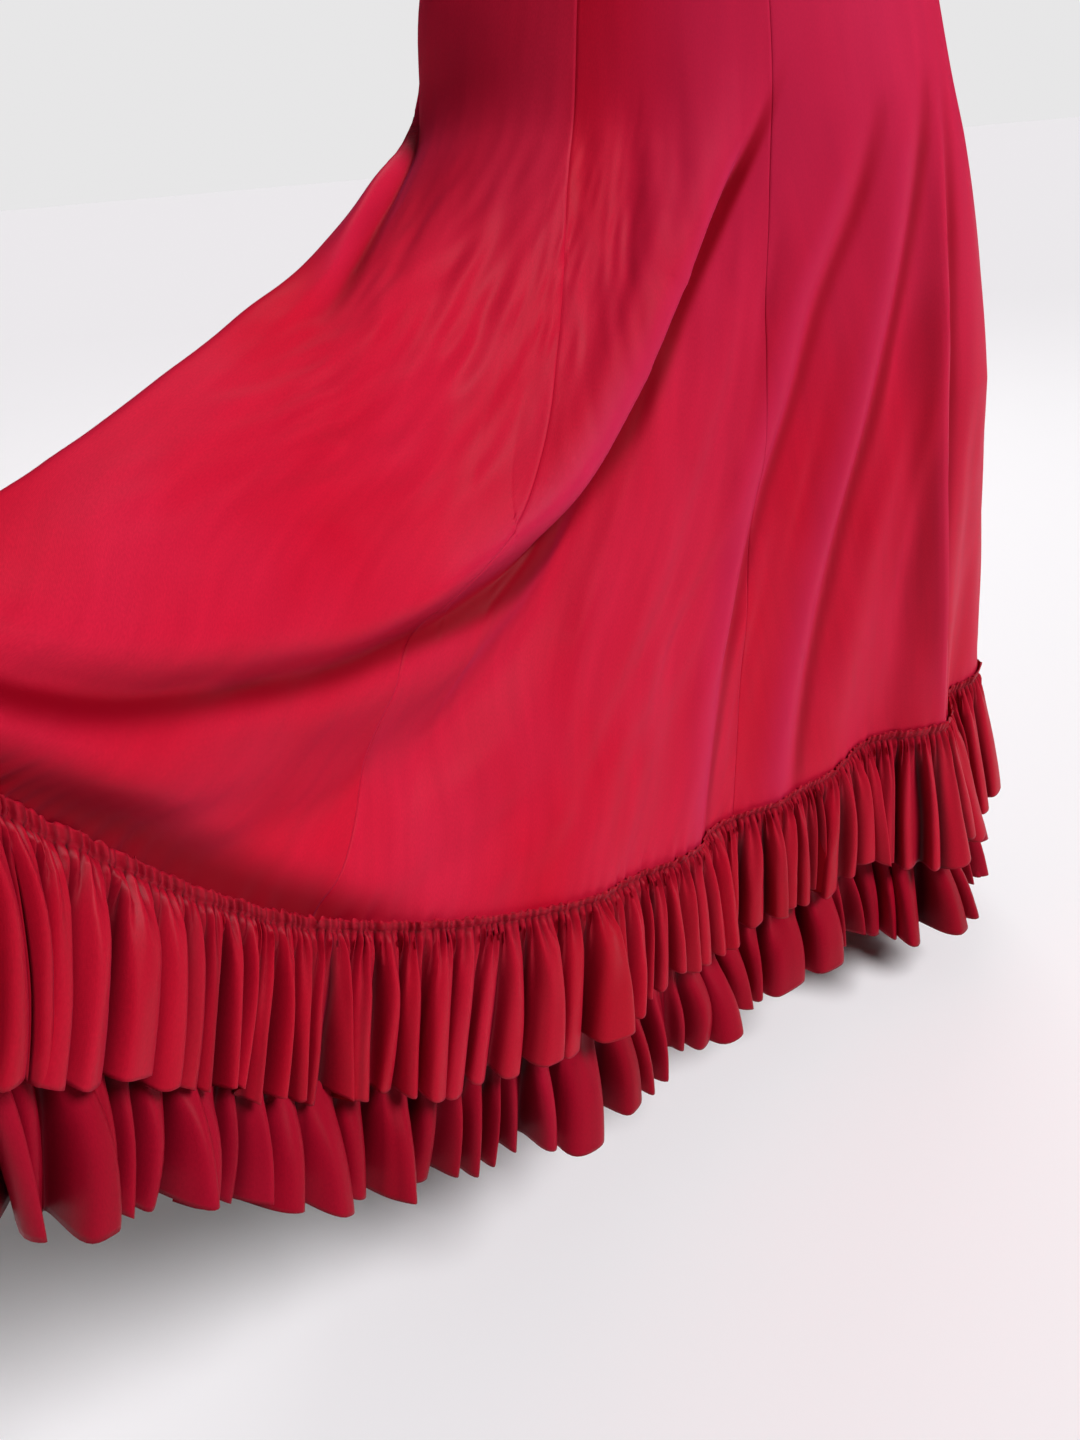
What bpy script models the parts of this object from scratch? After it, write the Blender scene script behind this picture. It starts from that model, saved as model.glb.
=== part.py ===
"""Flamenco skirt, as it hangs from the waist with its right side drawn out forward.

Six flared gores hang from an elastic waistband. Two gathered ruffles go round the hem: the
upper one is stitched to the gores below its own frilled edge, the lower one to their lower
edge. Every piece is a wall of cloth, lofted through rings that are worked out from the sizes
below. Metres, +Z up, the wearer faces -Y, and the origin is the middle of the waist.
"""

import math

import bpy
import numpy as np

CLOTH = 0.0015  # thickness of the skirt cloth with its stitching
BAND_CLOTH = 0.0024  # the waistband is doubled over its elastic
SEAM_GAP = 0.0003  # between one sewn piece and the next

BAND_HEIGHT = 0.035
WAIST_HALF_WIDTH = 0.128
WAIST_HALF_DEPTH = 0.098
HIP_LEVEL = -0.205  # below this the cloth is free of the hips
HIP_HALF_WIDTH = 0.183
HIP_HALF_DEPTH = 0.125
HIP_EASE = 1.1  # how fully the cloth rounds over the hips, in radians of a sine
UNDERLAP = 0.090  # how far the gores go on below the upper ruffle's stitch line
UNDERLAP_FLARE = -0.05  # metres out for each metre down: it hangs a little in

UPPER_DROP = 0.133  # of the upper ruffle, below its stitch line
HEADING = 0.014  # its frilled edge above that line
LOWER_DROP = 0.141
LOWER_START = 0.080  # the lower ruffle's stitch line, below the upper one's
RUFFLE_WAVES = 80  # in each ruffle, all round
POINTS_PER_WAVE = 4
WAVE_AT_GATHER = 0.0026
UPPER_WAVE_AT_HEM = 0.0080
LOWER_WAVE_AT_HEM = 0.0070
STAND_OFF = 0.0058  # of a ruffle's middle from the cloth that it is stitched to
HEADING_LEAN = 0.001
UPPER_FLARE = 0.075
LOWER_FLARE = 0.055

RUFFLE_LENGTHS = ("front", "right", "back", "left")  # each ruffle is joined from four lengths

BAND_COLUMNS = 48
LEAST_STRAIGHTNESS = 0.6  # limits how far a sharp bend's points move out
ROWS_ABOVE_HIP = 4
ROWS_BELOW_HIP = 13
ROWS_UNDERLAP = 2

RED = (0.58, 0.012, 0.035, 1)
DEEP_RED = (0.42, 0.008, 0.022, 1)
BAND_RED = (0.34, 0.006, 0.018, 1)

# The gores in order round the skirt. Gore 0 lies between seam 0 and seam 1, and so on; a place
# round the skirt is given in gores, so 1.5 is the middle of gore 1. The hip angle is that of a
# gore's first seam, in degrees from the wearer's left side towards the front.
GORE_COLUMNS = ("name", "hip_angle", "columns")
GORES = (
    ("gore_front", 78, 14),
    ("gore_side_front_right", 117, 15),
    ("gore_side_back_right", 180, 12),
    ("gore_back", 248, 10),
    ("gore_side_back_left", 292, 10),
    ("gore_side_front_left", 360, 16),
)

# The upper ruffle's stitch line, where the gores have their full width.
HEADER_COLUMNS = ("place", "x", "y", "z")
HEADER = (
    (0.00, 0.020, -0.153, -0.730),
    (0.50, -0.112, -0.296, -0.680),
    (1.00, -0.260, -0.417, -0.585),
    (1.38, -0.320, -0.530, -0.440),
    (1.60, -0.344, -0.566, -0.384),
    (1.78, -0.371, -0.591, -0.342),
    (1.90, -0.396, -0.586, -0.328),
    (2.01, -0.401, -0.556, -0.337),
    (2.16, -0.393, -0.508, -0.372),
    (2.45, -0.364, -0.402, -0.480),
    (2.80, -0.325, -0.235, -0.622),
    (3.10, -0.280, -0.090, -0.695),
    (3.45, -0.205, 0.060, -0.735),
    (3.90, -0.080, 0.180, -0.750),
    (4.30, 0.060, 0.235, -0.752),
    (4.62, 0.185, 0.222, -0.750),
    (4.85, 0.262, 0.182, -0.748),
    (5.04, 0.310, 0.118, -0.748),
    (5.20, 0.308, 0.058, -0.750),
    (5.36, 0.266, 0.010, -0.750),
    (5.65, 0.178, -0.040, -0.740),
)

# The seam on the drawn-out side of the front wanders as the cloth is dragged across. This is
# how far, in gores, by the fall from the hips.
DRIFT_SEAM = 1
DRIFT_COLUMNS = ("fall", "drift")
DRIFT = ((0.0, 0.0), (0.27, -0.17), (0.45, -0.14), (0.67, 0.06), (0.85, 0.01), (1.0, 0.04))

# Soft flutes in the free cloth: where each meets the stitch line, how wide it is in gores, how
# far it goes in, the fall from the hips where it starts, and how far round it leans on its way.
FLUTE_COLUMNS = ("place", "half_width", "depth", "start", "lean")
FLUTES = (
    (0.03, 0.15, 0.010, 0.05, 0.40),
    (0.36, 0.14, 0.007, 0.15, 0.40),
    (2.55, 0.24, 0.018, 0.35, 0.0),
    (3.32, 0.24, 0.030, 0.25, 0.0),
    (3.70, 0.20, 0.026, 0.20, 0.0),
    (4.28, 0.22, 0.032, 0.20, 0.0),
    (4.70, 0.22, 0.028, 0.20, 0.0),
    (5.26, 0.21, 0.036, 0.40, 0.0),
    (5.68, 0.14, 0.016, 0.05, 0.22),
)

# Where the free cloth swells or sags between the hips and the stitch line.
BELLY_COLUMNS = ("place", "half_width", "out", "down")
BELLIES = (
    (1.93, 1.10, 0.0, 0.030),
    (5.10, 1.00, 0.015, 0.0),
)
BELLY_LEAN = 0.65  # below 1 puts the fullest point nearer to the hips

# The drag fold from the left hip to the drawn-out corner. Each row is one point of its crest:
# its place, its fall from the hips, and how far the crest stands out there.
CREST_COLUMNS = ("place", "fall", "height")
CREST = (
    (0.18, 0.00, 0.002),
    (0.44, 0.15, 0.010),
    (0.58, 0.28, 0.014),
    (0.72, 0.45, 0.018),
    (0.90, 0.62, 0.020),
    (1.23, 0.78, 0.018),
    (1.46, 0.85, 0.014),
    (1.68, 0.90, 0.010),
    (1.90, 0.97, 0.000),
)
CREST_WIDTH = 0.095  # as a share of the fall

GORE_COUNT = len(GORES)


def rows_of(table, columns):
    """Each row of a table as a dictionary with its named columns."""
    return [dict(zip(columns, row)) for row in table]


def around(places, table, columns, name):
    """One column of a closed table at any places round the skirt, on a smooth closed curve."""
    knots = np.array([row[0] for row in table], float)
    values = np.array([row[columns.index(name)] for row in table], float)
    count = len(knots)
    place = np.mod(np.asarray(places, float), GORE_COUNT)
    left = np.searchsorted(knots, place, side="right") - 1
    index = np.stack([(left - 1) % count, left % count, (left + 1) % count, (left + 2) % count])
    wraps = np.stack([left - 1, left, left + 1, left + 2])
    at = knots[index] + GORE_COUNT * np.floor_divide(wraps, count)
    v = values[index]
    span = at[2] - at[1]
    slope_left = (v[2] - v[0]) / (at[2] - at[0])
    slope_right = (v[3] - v[1]) / (at[3] - at[1])
    s = (place - at[1]) / span
    return (
        v[1] * (1 + 2 * s) * (1 - s) ** 2
        + slope_left * span * s * (1 - s) ** 2
        + v[2] * s * s * (3 - 2 * s)
        + slope_right * span * s * s * (s - 1)
    )


def apart(places, other):
    """How far places are from another one, the short way round."""
    return np.mod(places - other + GORE_COUNT / 2, GORE_COUNT) - GORE_COUNT / 2


def hip_angles(places):
    """The angle round the hips, in radians, of places round the skirt."""
    knots = np.arange(GORE_COUNT + 1)
    degrees = [row["hip_angle"] for row in rows_of(GORES, GORE_COLUMNS)]
    turn = np.floor_divide(places, GORE_COUNT)
    inside = np.interp(np.mod(places, GORE_COUNT), knots, degrees + [degrees[0] + 360])
    return np.radians(inside + 360 * turn)


def ring(places, half_width, half_depth, level):
    """Points of an oval ring round the body."""
    angle = hip_angles(places)
    flat = np.stack([half_width * np.cos(angle), -half_depth * np.sin(angle)], -1)
    return np.concatenate([flat, np.full((len(places), 1), level)], -1)


def header_points(places):
    """Points of the smooth stitch line, before its flutes."""
    return np.stack([around(places, HEADER, HEADER_COLUMNS, axis) for axis in "xyz"], -1)


def outward(points_at, places):
    """Level directions that point out of a closed ring."""
    step = 0.02
    along = points_at(places + step) - points_at(places - step)
    normal = np.stack([along[:, 1], -along[:, 0], np.zeros(len(places))], -1)
    return -normal / np.linalg.norm(normal, axis=1, keepdims=True)


def hip_points(places):
    return ring(places, HIP_HALF_WIDTH, HIP_HALF_DEPTH, HIP_LEVEL)


def flute_depth(places, fall):
    """How far the flutes go in, at a share of the way down from the hips."""
    depth = np.zeros(len(places))
    for flute in rows_of(FLUTES, FLUTE_COLUMNS):
        away = apart(places, flute["place"] - flute["lean"] * (1 - fall))
        bump = np.cos(np.clip(away / flute["half_width"], -1, 1) * math.pi / 2) ** 2
        opened = np.clip((fall - flute["start"]) / (1 - flute["start"]), 0, 1)
        depth += flute["depth"] * bump * opened
    return depth


def belly(places, fall, name):
    """How far the cloth swells out or sags down, at a share of the way down."""
    size = np.zeros(len(places))
    for row in rows_of(BELLIES, BELLY_COLUMNS):
        away = apart(places, row["place"])
        size += row[name] * np.cos(np.clip(away / row["half_width"], -1, 1) * math.pi / 2) ** 2
    return size * math.sin(math.pi * fall**BELLY_LEAN)


def drag_fold(places, fall):
    """How far the drag fold stands out: a soft crest with a sharper hollow below it."""
    at, path, height = np.array(CREST).T
    place = np.mod(places, GORE_COUNT)
    below = (fall - np.interp(place, at, path)) / CREST_WIDTH
    hollow = 0.9 * np.exp(-(((below - 1.7) / 1.1) ** 2))
    return np.interp(place, at, height, left=0, right=0) * (np.exp(-((below / 1.5) ** 2)) - hollow)


def free_cloth(places, fall):
    """The cloth between the hips, where fall is 0, and the stitch line, where it is 1."""
    top = hip_points(places)
    bottom = header_points(places)
    out = outward(header_points, places)
    reach = belly(places, fall, "out") + drag_fold(places, fall) - flute_depth(places, fall)
    sag = belly(places, fall, "down")
    return top + (bottom - top) * fall + out * reach[:, None] - sag[:, None] * np.array([0, 0, 1])


def stitch_line(places):
    return free_cloth(places, 1.0)


def underlap(places, down):
    """The gores below the stitch line, hidden by the upper ruffle."""
    out = outward(stitch_line, places)
    return stitch_line(places) + out * UNDERLAP_FLARE * down - np.array([0, 0, down])


def upper_cloth(places, share):
    """The cloth between the waistband, where share is 0, and the hips, where it is 1."""
    ease = math.sin(share * HIP_EASE) / math.sin(HIP_EASE)
    start = -BAND_HEIGHT - SEAM_GAP
    return ring(
        places,
        WAIST_HALF_WIDTH + (HIP_HALF_WIDTH - WAIST_HALF_WIDTH) * ease,
        WAIST_HALF_DEPTH + (HIP_HALF_DEPTH - WAIST_HALF_DEPTH) * ease,
        start + (HIP_LEVEL - start) * share,
    )


def seam_place(seam, fall):
    """Where a seam runs, in gores, at a share of the way down from the hips."""
    drift = np.interp(fall, *np.array(DRIFT).T)
    return seam + (drift if seam == DRIFT_SEAM else 0)


def gore_places(number, fall):
    """The places of one gore's columns."""
    first, last = seam_place(number, fall), seam_place(number + 1, fall)
    return np.linspace(first, last, rows_of(GORES, GORE_COLUMNS)[number]["columns"] + 1)


def all_places(fall):
    """The places of every gore's columns, once round the skirt."""
    return np.concatenate([gore_places(number, fall)[:-1] for number in range(GORE_COUNT)])


def skirt_rings():
    """Rings of points round the whole skirt, from the waistband down to the gores' lower edge."""
    rings = [upper_cloth(all_places(0), i / ROWS_ABOVE_HIP) for i in range(ROWS_ABOVE_HIP)]
    for i in range(ROWS_BELOW_HIP + 1):
        rings.append(free_cloth(all_places(i / ROWS_BELOW_HIP), i / ROWS_BELOW_HIP))
    for i in range(ROWS_UNDERLAP):
        rings.append(underlap(all_places(1), UNDERLAP * (i + 1) / ROWS_UNDERLAP))
    return np.stack(rings)


def unit(vectors):
    return vectors / np.linalg.norm(vectors, axis=-1, keepdims=True)


def through_cloth(rings):
    """The way out through the cloth at each point of closed rings, longer at its bends."""
    before = unit(rings - np.roll(rings, 1, axis=1))
    after = unit(np.roll(rings, -1, axis=1) - rings)
    down = unit(np.gradient(rings, axis=0))
    straightness = np.linalg.norm(before + after, axis=-1, keepdims=True) / 2
    return unit(np.cross(before + after, down)) / np.clip(straightness, LEAST_STRAIGHTNESS, 1)


def material(name, colour, roughness):
    made = bpy.data.materials.new(name)
    made.use_nodes = True
    shader = made.node_tree.nodes["Principled BSDF"]
    shader.inputs["Base Color"].default_value = colour
    shader.inputs["Roughness"].default_value = roughness
    shader.inputs["Metallic"].default_value = 0.0
    made.diffuse_color = colour
    return made


def drawn_in(edge, neighbour):
    """A cut edge moved square to itself, towards the next column, by half a seam gap."""
    along = unit(np.gradient(edge, axis=0))
    inward = neighbour - edge
    inward -= along * (inward * along).sum(axis=1, keepdims=True)
    return edge + unit(inward) * SEAM_GAP / 2


def panel(rings, way, first, count):
    """Columns first to first + count of closed rings, parted from what lies beside them."""
    picked = np.arange(first, first + count + 1) % rings.shape[1]
    cut, through = rings[:, picked].copy(), way[:, picked]
    cut[:, 0] = drawn_in(cut[:, 0], cut[:, 1])
    cut[:, -1] = drawn_in(cut[:, -1], cut[:, -2])
    return cut, through


def cloth_piece(name, middle, through, thickness, look, closed=False):
    """A wall of cloth round a grid of points: rows go down it, columns go round the skirt."""
    rows, columns = middle.shape[:2]
    layers = np.stack([middle + through * thickness / 2, middle - through * thickness / 2])
    index = np.arange(2 * rows * columns).reshape(2, rows, columns)
    if closed:
        index = np.concatenate([index, index[:, :, :1]], axis=2)
    outer, inner = index

    def strip(a, b):
        """Triangles between two lines of points that run side by side."""
        lower = np.stack([a[:-1], a[1:], b[1:]], -1)
        upper = np.stack([a[:-1], b[1:], b[:-1]], -1)
        return lower.tolist() + upper.tolist()

    faces = []
    for row in range(rows - 1):
        faces += strip(outer[row], outer[row + 1])
        # the inside is cut along the same diagonals, so that the wall is even
        faces += [face[::-1] for face in strip(inner[row], inner[row + 1])]
    faces += strip(inner[0], outer[0])
    faces += strip(outer[-1], inner[-1])
    if not closed:
        faces += strip(outer[:, 0], inner[:, 0])
        faces += strip(inner[:, -1], outer[:, -1])
    mesh = bpy.data.meshes.new(name)
    mesh.from_pydata(layers.reshape(-1, 3).tolist(), [], faces)
    mesh.materials.append(look)
    mesh.shade_smooth()
    SKIRT.objects.link(bpy.data.objects.new(name, mesh))


def waistband():
    places = np.arange(BAND_COLUMNS) * GORE_COUNT / BAND_COLUMNS
    levels = (0.0, -BAND_HEIGHT / 2, -BAND_HEIGHT)
    rings = np.stack([ring(places, WAIST_HALF_WIDTH, WAIST_HALF_DEPTH, level) for level in levels])
    look = material("band", BAND_RED, 0.7)
    cloth_piece("waistband", rings, through_cloth(rings), BAND_CLOTH, look, closed=True)


def gores():
    look = material("satin", RED, 0.42)
    rings = skirt_rings()
    way = through_cloth(rings)
    way[0, :, 2] = 0  # the top edge is cut level, against the waistband
    first = 0
    for gore in rows_of(GORES, GORE_COLUMNS):
        cloth_piece(gore["name"], *panel(rings, way, first, gore["columns"]), CLOTH, look)
        first += gore["columns"]


def sewing_line():
    """The gores' own corners on the stitch line, closed, with the level way out at each."""
    line = stitch_line(all_places(1))
    out = through_cloth(np.stack([line, line - np.array([0, 0, 1])]))[0]
    return np.append(line, line[:1], axis=0), np.append(out, out[:1], axis=0)


def waves():
    """Points round the sewing line, the ways out, and each point's wave, about -1 to 1."""
    line, out = sewing_line()
    length = np.concatenate([[0], np.cumsum(np.linalg.norm(np.diff(line, axis=0), axis=1))])
    count = RUFFLE_WAVES * POINTS_PER_WAVE
    turn = np.arange(count) / count
    uneven = 0.13 * np.sin(2 * math.pi * 23 * turn) + 0.09 * np.sin(2 * math.pi * 37 * turn + 1)
    at = np.mod(turn + uneven / RUFFLE_WAVES, 1) * length[-1]
    height = 1 + 0.16 * np.sin(2 * math.pi * 17 * turn + 2) + 0.10 * np.sin(2 * math.pi * 41 * turn)
    on_line = np.stack([np.interp(at, length, line[:, k]) for k in range(3)], -1)
    way_out = np.stack([np.interp(at, length, out[:, k]) for k in range(3)], -1)
    return on_line, way_out, np.sin(np.arange(count) * math.pi / 2) * height


def ruffle(prefix, start, rows, look):
    """One gathered ruffle in four lengths. Rows are: way down, stand-off, wave height."""
    line, out, wave_heights = waves()
    base = line + out * UNDERLAP_FLARE * start - np.array([0, 0, start])
    grid = []
    for down, stand_off, wave in rows:
        reach = stand_off + wave * wave_heights
        grid.append(base + out * reach[:, None] - np.array([0, 0, down]))
    rings = np.stack(grid)
    way = through_cloth(rings)
    count = len(wave_heights) // len(RUFFLE_LENGTHS)
    for number, side in enumerate(RUFFLE_LENGTHS):
        cloth_piece(f"{prefix}_{side}", *panel(rings, way, number * count, count), CLOTH, look)


def ruffles():
    look = material("ruffle_satin", DEEP_RED, 0.5)
    half = UPPER_DROP / 2
    upper_rows = (
        (-HEADING, STAND_OFF + HEADING_LEAN, WAVE_AT_GATHER),
        (0, STAND_OFF, WAVE_AT_GATHER),
        (half, STAND_OFF + UPPER_FLARE * half, (WAVE_AT_GATHER + UPPER_WAVE_AT_HEM) / 2),
        (UPPER_DROP, STAND_OFF + UPPER_FLARE * UPPER_DROP, UPPER_WAVE_AT_HEM),
    )
    lower_rows = (
        (0, STAND_OFF, WAVE_AT_GATHER),
        (LOWER_DROP, STAND_OFF + LOWER_FLARE * LOWER_DROP, LOWER_WAVE_AT_HEM),
    )
    ruffle("ruffle_upper", 0, upper_rows, look)
    ruffle("ruffle_lower", LOWER_START, lower_rows, look)


for old in list(bpy.data.objects):
    bpy.data.objects.remove(old)
SKIRT = bpy.data.collections.new("flamenco_skirt")
bpy.context.scene.collection.children.link(SKIRT)
waistband()
gores()
ruffles()
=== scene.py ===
"""A flamenco skirt of red stretch satin, worn, with its right side drawn out forward.

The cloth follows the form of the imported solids: six flared gores on an elastic waistband, with
two gathered ruffles round the hem. Metres, +Z up, the wearer faces -Y, and the origin is the
middle of the waist.
"""

import math

import bpy
import numpy as np
from mathutils import Matrix, Vector


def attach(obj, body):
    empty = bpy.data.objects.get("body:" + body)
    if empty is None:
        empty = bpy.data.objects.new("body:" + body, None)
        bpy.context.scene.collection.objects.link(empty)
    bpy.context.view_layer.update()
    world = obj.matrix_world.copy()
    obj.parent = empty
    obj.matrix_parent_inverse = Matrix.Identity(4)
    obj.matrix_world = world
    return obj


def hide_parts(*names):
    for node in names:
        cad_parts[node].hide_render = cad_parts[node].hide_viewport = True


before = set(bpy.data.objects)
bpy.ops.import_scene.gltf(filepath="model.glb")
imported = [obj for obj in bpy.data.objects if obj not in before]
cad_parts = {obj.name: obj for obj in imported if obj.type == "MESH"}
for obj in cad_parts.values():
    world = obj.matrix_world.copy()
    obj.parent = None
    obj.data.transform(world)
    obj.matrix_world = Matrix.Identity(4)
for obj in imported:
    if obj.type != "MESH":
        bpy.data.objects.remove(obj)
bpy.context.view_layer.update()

# The form, as in the solids. A table of whole numbers is divided by its units, which gives metres
# and shares.
BAND_HEIGHT = 0.035
WAIST_HALF_WIDTH = 0.128
WAIST_HALF_DEPTH = 0.098
HIP_LEVEL = -0.205
HIP_HALF_WIDTH = 0.183
HIP_HALF_DEPTH = 0.125
HIP_EASE = 1.1
UNDERLAP = 0.090
UNDERLAP_FLARE = -0.05
LOWER_START = 0.080

GORE_COLUMNS = ("name", "hip_angle", "columns")
GORES = (
    ("gore_front", 78, 168),
    ("gore_side_front_right", 117, 184),
    ("gore_side_back_right", 180, 76),
    ("gore_back", 248, 56),
    ("gore_side_back_left", 292, 56),
    ("gore_side_front_left", 360, 100),
)
GORE_COUNT = len(GORES)

# A place round the skirt is given in gores from the first one's first seam. The fall is 0 at the
# hips and 1 at the ruffle's stitch line. The header is that stitch line: place, x, y and z.
HEADER_UNITS = (100, 1000, 1000, 1000)
HEADER = (
    (0, 20, -153, -730), (50, -112, -296, -680), (100, -260, -417, -585), (138, -320, -530, -440),
    (160, -344, -566, -384), (178, -371, -591, -342), (190, -396, -586, -328),
    (201, -401, -556, -337), (216, -393, -508, -372), (245, -364, -402, -480),
    (280, -325, -235, -622), (310, -280, -90, -695), (345, -205, 60, -735), (390, -80, 180, -750),
    (430, 60, 235, -752), (462, 185, 222, -750), (485, 262, 182, -748), (504, 310, 118, -748),
    (520, 308, 58, -750), (536, 266, 10, -750), (565, 178, -40, -740),
)

# One seam drifts from its place: the fall, and how far.
DRIFT_SEAM = 1
DRIFT_UNITS = (100, 1000)
DRIFT = (
    (-31, 0), (-10, 10), (0, -10), (10, -70), (20, -140), (30, -175), (40, -175), (50, -120),
    (60, 0), (68, 65), (75, 55), (85, 0), (100, 30),
)

# Long flutes: place, half width, depth, the fall where they start, and lean.
FLUTE_UNITS = (100, 100, 1000, 100, 100)
FLUTES = (
    (3, 15, 10, 5, 40), (36, 14, 7, 15, 40), (255, 24, 18, 35, 0), (332, 24, 30, 25, 0),
    (370, 20, 26, 20, 0), (428, 22, 32, 20, 0), (470, 22, 28, 20, 0), (526, 21, 36, 40, 0),
    (568, 14, 16, 5, 22),
)

# How far the cloth bulges out and sags half-way down.
BELLY_COLUMNS = ("place", "half_width", "out", "down")
BELLIES = (
    (1.93, 1.10, 0.0, 0.030),
    (5.10, 1.00, 0.015, 0.0),
)
BELLY_LEAN = 0.65

# The drag fold's crest: place, fall and height.
CREST_UNITS = (100, 100, 1000)
CREST = (
    (4, -6, 0), (18, 0, 2), (44, 15, 10), (58, 28, 14), (72, 45, 18), (90, 62, 20), (123, 78, 18),
    (146, 85, 14), (168, 90, 10), (190, 97, 0),
)
CREST_WIDTH = 0.095

# The cloth itself.
CLOTH = 0.0006
SEAM_CROWDING = 0.60  # how much closer the grid's columns stand beside a seam
ROWS_OVER_HIPS = 18
ROWS_BELOW_HIPS = 188
ROWS_UNDERLAP = 6
UPPER_FALL = 0.31  # the height over the hips, as a share of the fall below them

# Folds that drop away on one side. The roll and the tuck are how far the fold reaches on its high
# and low side, and the lap is how far its edge leans over the low side. The hollow under it is
# painted a deeper red as shade, so strong and so wide, and its crest is painted pinker as sheen.
# The path gives places and falls in thousandths, and the height of the drop and how gentle it is
# in tenths of a millimetre.
STEP_COLUMNS = ("roll", "tuck", "lap", "hollow", "hollow_shade_width", "crest", "path")
STEP_PATH_UNITS = (1000, 1000, 10000, 10000)
STEPS = (
    # the drag fold from the left hip to the drawn-out corner
    (0.034, 0.024, 0.005, 1.0, 0.0085, 0.6, (
        (20, -10, 10, 40), (140, 50, 70, 42), (280, 115, 140, 44), (405, 190, 190, 48),
        (505, 263, 220, 52), (620, 362, 240, 56), (745, 463, 260, 62), (895, 547, 280, 68),
        (1000, 600, 290, 74), (1125, 672, 290, 82), (1265, 753, 270, 92), (1430, 825, 250, 100),
        (1620, 875, 220, 105), (1800, 900, 150, 110), (1950, 930, 50, 120),
    )),
    # long folds on the wearer's left of the front
    (0.03, 0.026, 0.001, 0.5, 0.007, 0.5, (
        (-260, 40, 40, 100), (-200, 130, 110, 105), (-120, 230, 160, 110), (-60, 360, 190, 110),
        (0, 470, 200, 110), (60, 600, 190, 110), (100, 740, 160, 115), (120, 880, 120, 120),
        (120, 990, 50, 120),
    )),
    (0.03, 0.026, 0.001, 0.6, 0.008, 0.5, (
        (-460, 20, 40, 110), (-400, 140, 150, 115), (-330, 270, 210, 115), (-270, 400, 240, 115),
        (-210, 530, 240, 115), (-170, 650, 220, 115), (-140, 770, 190, 115),
        (-120, 880, 150, 120), (-110, 990, 63, 120),
    )),
    (0.016, 0.018, 0.001, 0.6, 0.007, 0.3, (
        (-600, 40, 25, 43), (-580, 180, 100, 43), (-560, 340, 160, 43), (-550, 520, 180, 44),
        (-550, 740, 170, 48), (-560, 980, 63, 51),
    )),
    # the pleat tucked under the roll at the right hip
    (0.012, 0.014, 0.002, 0.9, 0.006, 0.2, (
        (2020, -40, 20, 30), (1950, 40, 120, 30), (1870, 120, 170, 32), (1810, 200, 160, 38),
        (1750, 290, 90, 52), (1720, 360, 20, 70),
    )),
    # where the drawn-out cloth turns under above the ruffle
    (0.03, 0.04, 0.0, 1.0, 0.019, 0.0, (
        (840, 985, 20, 100), (960, 968, 80, 100), (1100, 957, 120, 110), (1280, 952, 130, 120),
        (1480, 956, 130, 130), (1700, 966, 130, 130), (1850, 980, 100, 120), (1980, 992, 50, 100),
    )),
)

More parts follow.
